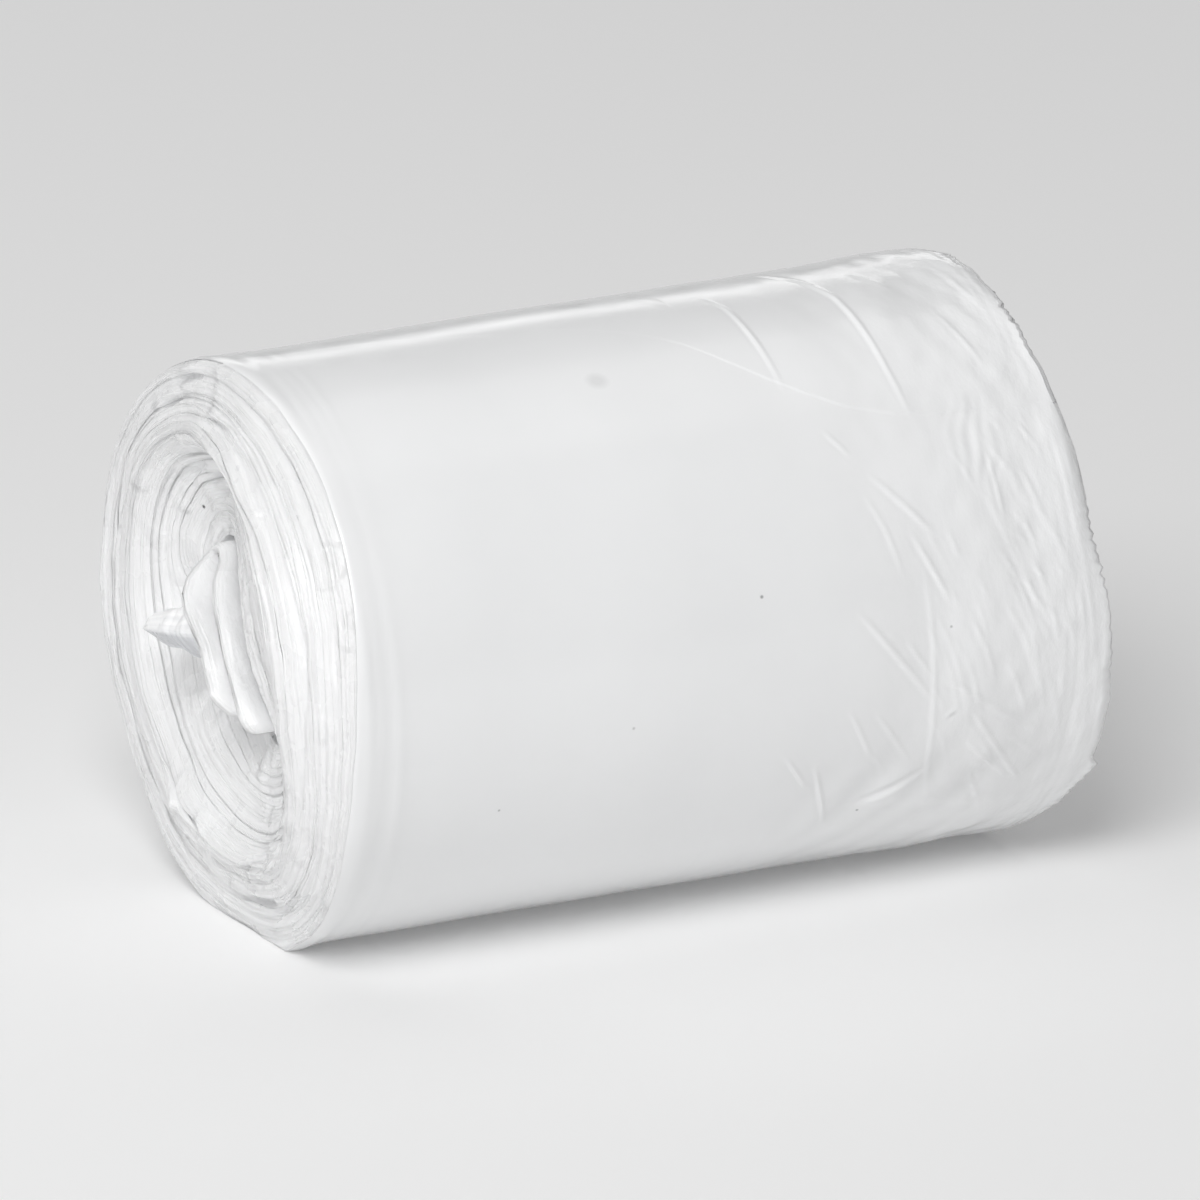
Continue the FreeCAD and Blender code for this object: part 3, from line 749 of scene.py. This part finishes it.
def core_fold(name, end, stand_out, depth, seed):
    """The fold as a band round its middle line: each section runs from depth behind one face, over
    the soft edge with its film layers, to behind the other. stand_out gives how far the edge stands
    out of the web's end, and the band pinches shut where it begins and ends."""
    count, over = 260, 30
    passed, long_way, short_way, cross = fold_path(count)
    share = np.linspace(-1, 1, over)[None, :]
    tip = np.abs(share) < TIP_SHARE
    half_turn = np.clip(share / TIP_SHARE, -1, 1) * np.pi / 2
    fullness = 0.95 + 0.08 * waves(passed / 30, 0 * passed, 6, 0.4, 1.8, seed)
    pinch = np.clip(np.minimum(passed, passed[-1] - passed) / 1.6, 0.02, 1) ** 0.5
    half = (LEAF_HALF * np.clip(fullness, 0.6, 1.25) * pinch)[:, None]
    sideways = half * np.sin(half_turn)
    drift = 0.9 * waves(passed / 18, 0 * passed, 5, 0.3, 1.2, seed + 1)[:, None]
    layers = 0.20 * np.cos(2 * np.pi * 2.6 * np.sin(half_turn) + drift)
    ends = np.clip(1 - np.minimum(passed, passed[-1] - passed) / 4.5, 0, 1)
    tips = (stand_out(passed, long_way) - 3.2 * (1 - np.sqrt(1 - ends**2)))[:, None]
    out = tips + TIP_ROUND * (np.cos(half_turn) ** 0.9 - 1) + layers * np.cos(half_turn)
    behind = np.clip((np.abs(share) - TIP_SHARE) / (1 - TIP_SHARE), 0, 1)
    out = np.where(tip, out, tips - TIP_ROUND - behind * depth)
    sway = 0.10 * waves(passed[:, None] / 30, out / 30, 6, 0.3, 1.2, seed + 2)
    wrinkle = 0.07 * waves(passed[:, None] / 9, out / 4, 8, 0.3, 1.4, seed + 3)
    sideways = sideways + sway * pinch[:, None] + wrinkle * np.cos(half_turn)
    where_long = long_way[:, None] + cross[:, :1] * sideways
    where_short = short_way[:, None] + cross[:, 1:] * sideways
    y, z = leaf_place(where_long, where_short)
    points = np.stack([end * (HALF_WEB + out), y, z], axis=-1)
    last_row = [(count - 1) * over + k for k in range(over)]
    faces = [*grid_faces(count, over), list(range(over)), last_row[::-1]]
    # Painted shade: the fold is coloured lighter on its soft edge and darker down its sides into the
    # hollow.
    add_piece(
        name, points, faces, lambda middle: np.broadcast_to((end, 0, 0), middle.shape), edge_film,
        shade=np.broadcast_to(0.15 + 0.5 * np.cos(half_turn) ** 0.5, out.shape),
        layer=np.broadcast_to(2 * np.sin(half_turn), out.shape),
        crumple=np.full(out.shape, 2),
    )


def near_leaf_tips(passed, long_way):
    """How far the fold stands out of the near end: each leaf by its own outline along the hollow's
    long way, the front one less far, with a slow wave."""
    back = np.interp(
        long_way,
        (-12.5, -11.5, -7, 2.6, 10, 13.5, 16.2, 18.2, 19.6, 21),
        (5.2, 6.5, 8.4, 7.6, 8.3, 7.8, 6.2, 3.9, 1.8, 0.6),
    )
    front = np.interp(
        long_way, (-17, -8, 0, 9, 14, 17.5, 20), (5.6, 5.2, 4.6, 3.9, 2.2, 0.0, -0.4)
    )
    onto_front = smooth(passed, 31.6, 36.4)
    wave = 0.14 * waves(passed / 26, 0 * passed, 5, 0.4, 1.4, 61)
    return back * (1 - onto_front) + front * onto_front + wave


def far_leaf_tips(passed, _):
    """The fold ends about flush with the web's edge at the far end, with a slow wave."""
    return 0.4 * waves(passed / 20, 0 * passed, 5, 0.4, 1.4, 62)


core_fold("core_fold_near", -1, near_leaf_tips, 20, 63)
core_fold("core_fold_far", 1, far_leaf_tips, 13, 73)


# The bent corner.
# The first bag's corner, creased when it was tucked round the spindle, has sprung out over the hollow.
# It is the same film, folded on itself into a crumpled point.

# Where it grows out of the back leaf, and how far it reaches: along the hollow's long way, towards
# the front, and out of the web's end.
CORNER_FROM = (4.5, -0.9, 3.6)
CORNER_REACH = (8.0, -12.3, 6.6)
rows, columns = 70, 72
along = np.linspace(0, 1, rows)[:, None]
spin = np.linspace(0, 2 * np.pi, columns, endpoint=False)[None, :]
blunt = np.sqrt(1.001 - along**6)
half_wide = 4.7 * (1 - along) ** 0.8 + 1.9 * blunt
half_thick = 1.5 * (1 - along) ** 0.8 + 0.9 * blunt
fold_in = 1 - 0.45 * bump(np.sin(spin), -0.55, 0.35) * bump(np.cos(spin), -0.8, 0.5)
tab_long = CORNER_FROM[0] + CORNER_REACH[0] * along + half_wide * np.cos(spin) * fold_in
tab_short = CORNER_FROM[1] + CORNER_REACH[1] * along + 0.8 * np.sin(3 * along + 1)
ridge = np.clip(1 - np.abs(np.cos(spin) - 0.12) / 0.95, 0, 1)
ridge = ridge * smooth(along, -0.3, 0.3) * (1 - 0.55 * along)
tab_out = CORNER_FROM[2] + CORNER_REACH[2] * along + half_thick * np.sin(spin) * fold_in
tab_out = tab_out + 2.6 * ridge * (np.sin(spin) > 0)
tab_wrinkle = 0.34 * waves(along * 2.6, spin / 2.4, 7, 0.4, 1.2, 81) * (1 - 0.6 * along)
tab_long = tab_long + tab_wrinkle * np.cos(spin)
tab_out = tab_out + tab_wrinkle * np.sin(spin)
tab_out = tab_out + 0.25 * np.abs(waves(along * 4, spin / 2, 6, 0.5, 1.5, 82)) * (1 - along)
tab_short = tab_short + 0.35 * waves(along * 3, spin / 2, 6, 0.3, 1.0, 83) * (1 - along)
tab_y, tab_z = leaf_place(tab_long, tab_short)
tab = np.stack([-HALF_WEB - tab_out, tab_y, tab_z], axis=-1)
tab_middle = tab.mean(axis=(0, 1))
# The corner's film takes a dark shadow_tint for the painted shade on its lower face.
corner_film = film(
    "film_corner", (0.95, 0.953, 0.956), (0.58, 0.59, 0.61), (0.20, 0.38), 0.45, 0.20, 3.0, ()
)
tab_tip = [(rows - 1) * columns + k for k in range(columns)]
# Painted shade: the upper face light, the lower face dark and darker still near where it grows out of
# the leaf.
tab_shade = 0.5 + 0.5 * np.tanh(6 * (np.cos(spin) - 0.05))
tab_shade = tab_shade - 0.2 * bump(along, 0.2, 0.25) * (np.cos(spin) < 0)
add_piece(
    "bent_corner", tab,
    [*grid_faces(rows, columns, round_columns=True), list(range(columns)), tab_tip[::-1]],
    lambda middle: middle - tab_middle, corner_film,
    shade=tab_shade, layer=1.6 * np.cos(spin) + 0 * along,
    crumple=np.full((rows, columns), 2),
)


# The floor, the lights and the camera.
# A plain pale floor under soft studio light, seen through a long lens from the photograph's side.
MM_PER_PIXEL = 0.185
CAMERA_TURN = math.radians(26)
CAMERA_RISE = math.radians(19)
CAMERA_DISTANCE = 5.2
PICTURE_PIXELS = 1200
NEAR_RIM_PIXEL = (241, 653)
ROLL_MIDDLE = (0, 0, 0.05)
FLOOR_HALF = 6

right = Vector((math.cos(CAMERA_TURN), -math.sin(CAMERA_TURN), 0))
level_back = Vector((-math.sin(CAMERA_TURN), -math.cos(CAMERA_TURN), 0))
back = level_back * math.cos(CAMERA_RISE) + Vector((0, 0, math.sin(CAMERA_RISE)))
up = back.cross(right)
pixel = MM_PER_PIXEL * MM
aim = Vector((-HALF_WEB, 0, AXIS_HEIGHT)) * MM
aim += right * (PICTURE_PIXELS / 2 - NEAR_RIM_PIXEL[0]) * pixel
aim += up * (NEAR_RIM_PIXEL[1] - PICTURE_PIXELS / 2) * pixel
lens = bpy.data.cameras.new("camera")
lens.sensor_width = 36
lens.lens = lens.sensor_width * CAMERA_DISTANCE / (PICTURE_PIXELS * pixel)
lens.clip_end = 50
camera = bpy.data.objects.new("camera", lens)
bpy.context.scene.collection.objects.link(camera)
turned = Matrix((right, up, back)).transposed().to_4x4()
camera.matrix_world = Matrix.Translation(aim + back * CAMERA_DISTANCE) @ turned
bpy.context.scene.camera = camera

floor_mesh = bpy.data.meshes.new("floor")
floor_corners = [(FLOOR_HALF * x, FLOOR_HALF * y, 0) for x, y in ((-1, -1), (1, -1), (1, 1), (-1, 1))]
floor_mesh.from_pydata(floor_corners, [], [(0, 1, 2, 3)])
floor = bpy.data.objects.new("floor", floor_mesh)
bpy.context.scene.collection.objects.link(floor)
floor_paint = bpy.data.materials.new("floor_paint")
floor_paint.use_nodes = True
floor_shader = floor_paint.node_tree.nodes["Principled BSDF"]
floor_shader.inputs["Base Color"].default_value = (0.86, 0.86, 0.86, 1)
floor_shader.inputs["Roughness"].default_value = 0.9
floor_shader.inputs["Emission Strength"].default_value = 0.09
floor_shader.inputs["Emission Color"].default_value = (1, 1, 1, 1)
floor_mesh.materials.append(floor_paint)


def soft_light(name, place, wide, deep, watts):
    """A soft rectangular light at place, in metres, that faces the roll's middle."""
    lamp = bpy.data.lights.new(name, "AREA")
    lamp.shape = "RECTANGLE"
    lamp.size = wide
    lamp.size_y = deep
    lamp.energy = watts
    holder = bpy.data.objects.new(name, lamp)
    bpy.context.scene.collection.objects.link(holder)
    holder.location = place
    holder.rotation_euler = (Vector(ROLL_MIDDLE) - Vector(place)).to_track_quat("-Z", "Y").to_euler()


soft_light("top_light", (0.1, 0.4, 1.4), 1.7, 1.0, 4)
soft_light("key_light", (-0.95, -1.15, 1.6), 1.0, 1.0, 27)
soft_light("fill_light", (-1.9, -0.5, 0.45), 0.9, 0.9, 8.6)
soft_light("back_light", (0.25, 1.7, 0.52), 1.8, 0.3, 3)
world = bpy.data.worlds.new("room")
bpy.context.scene.world = world
world.use_nodes = True
sky = world.node_tree.nodes["Background"]
sky.inputs["Color"].default_value = (1, 1, 1, 1)
sky.inputs["Strength"].default_value = 0.17
bpy.context.scene.view_settings.view_transform = "Standard"
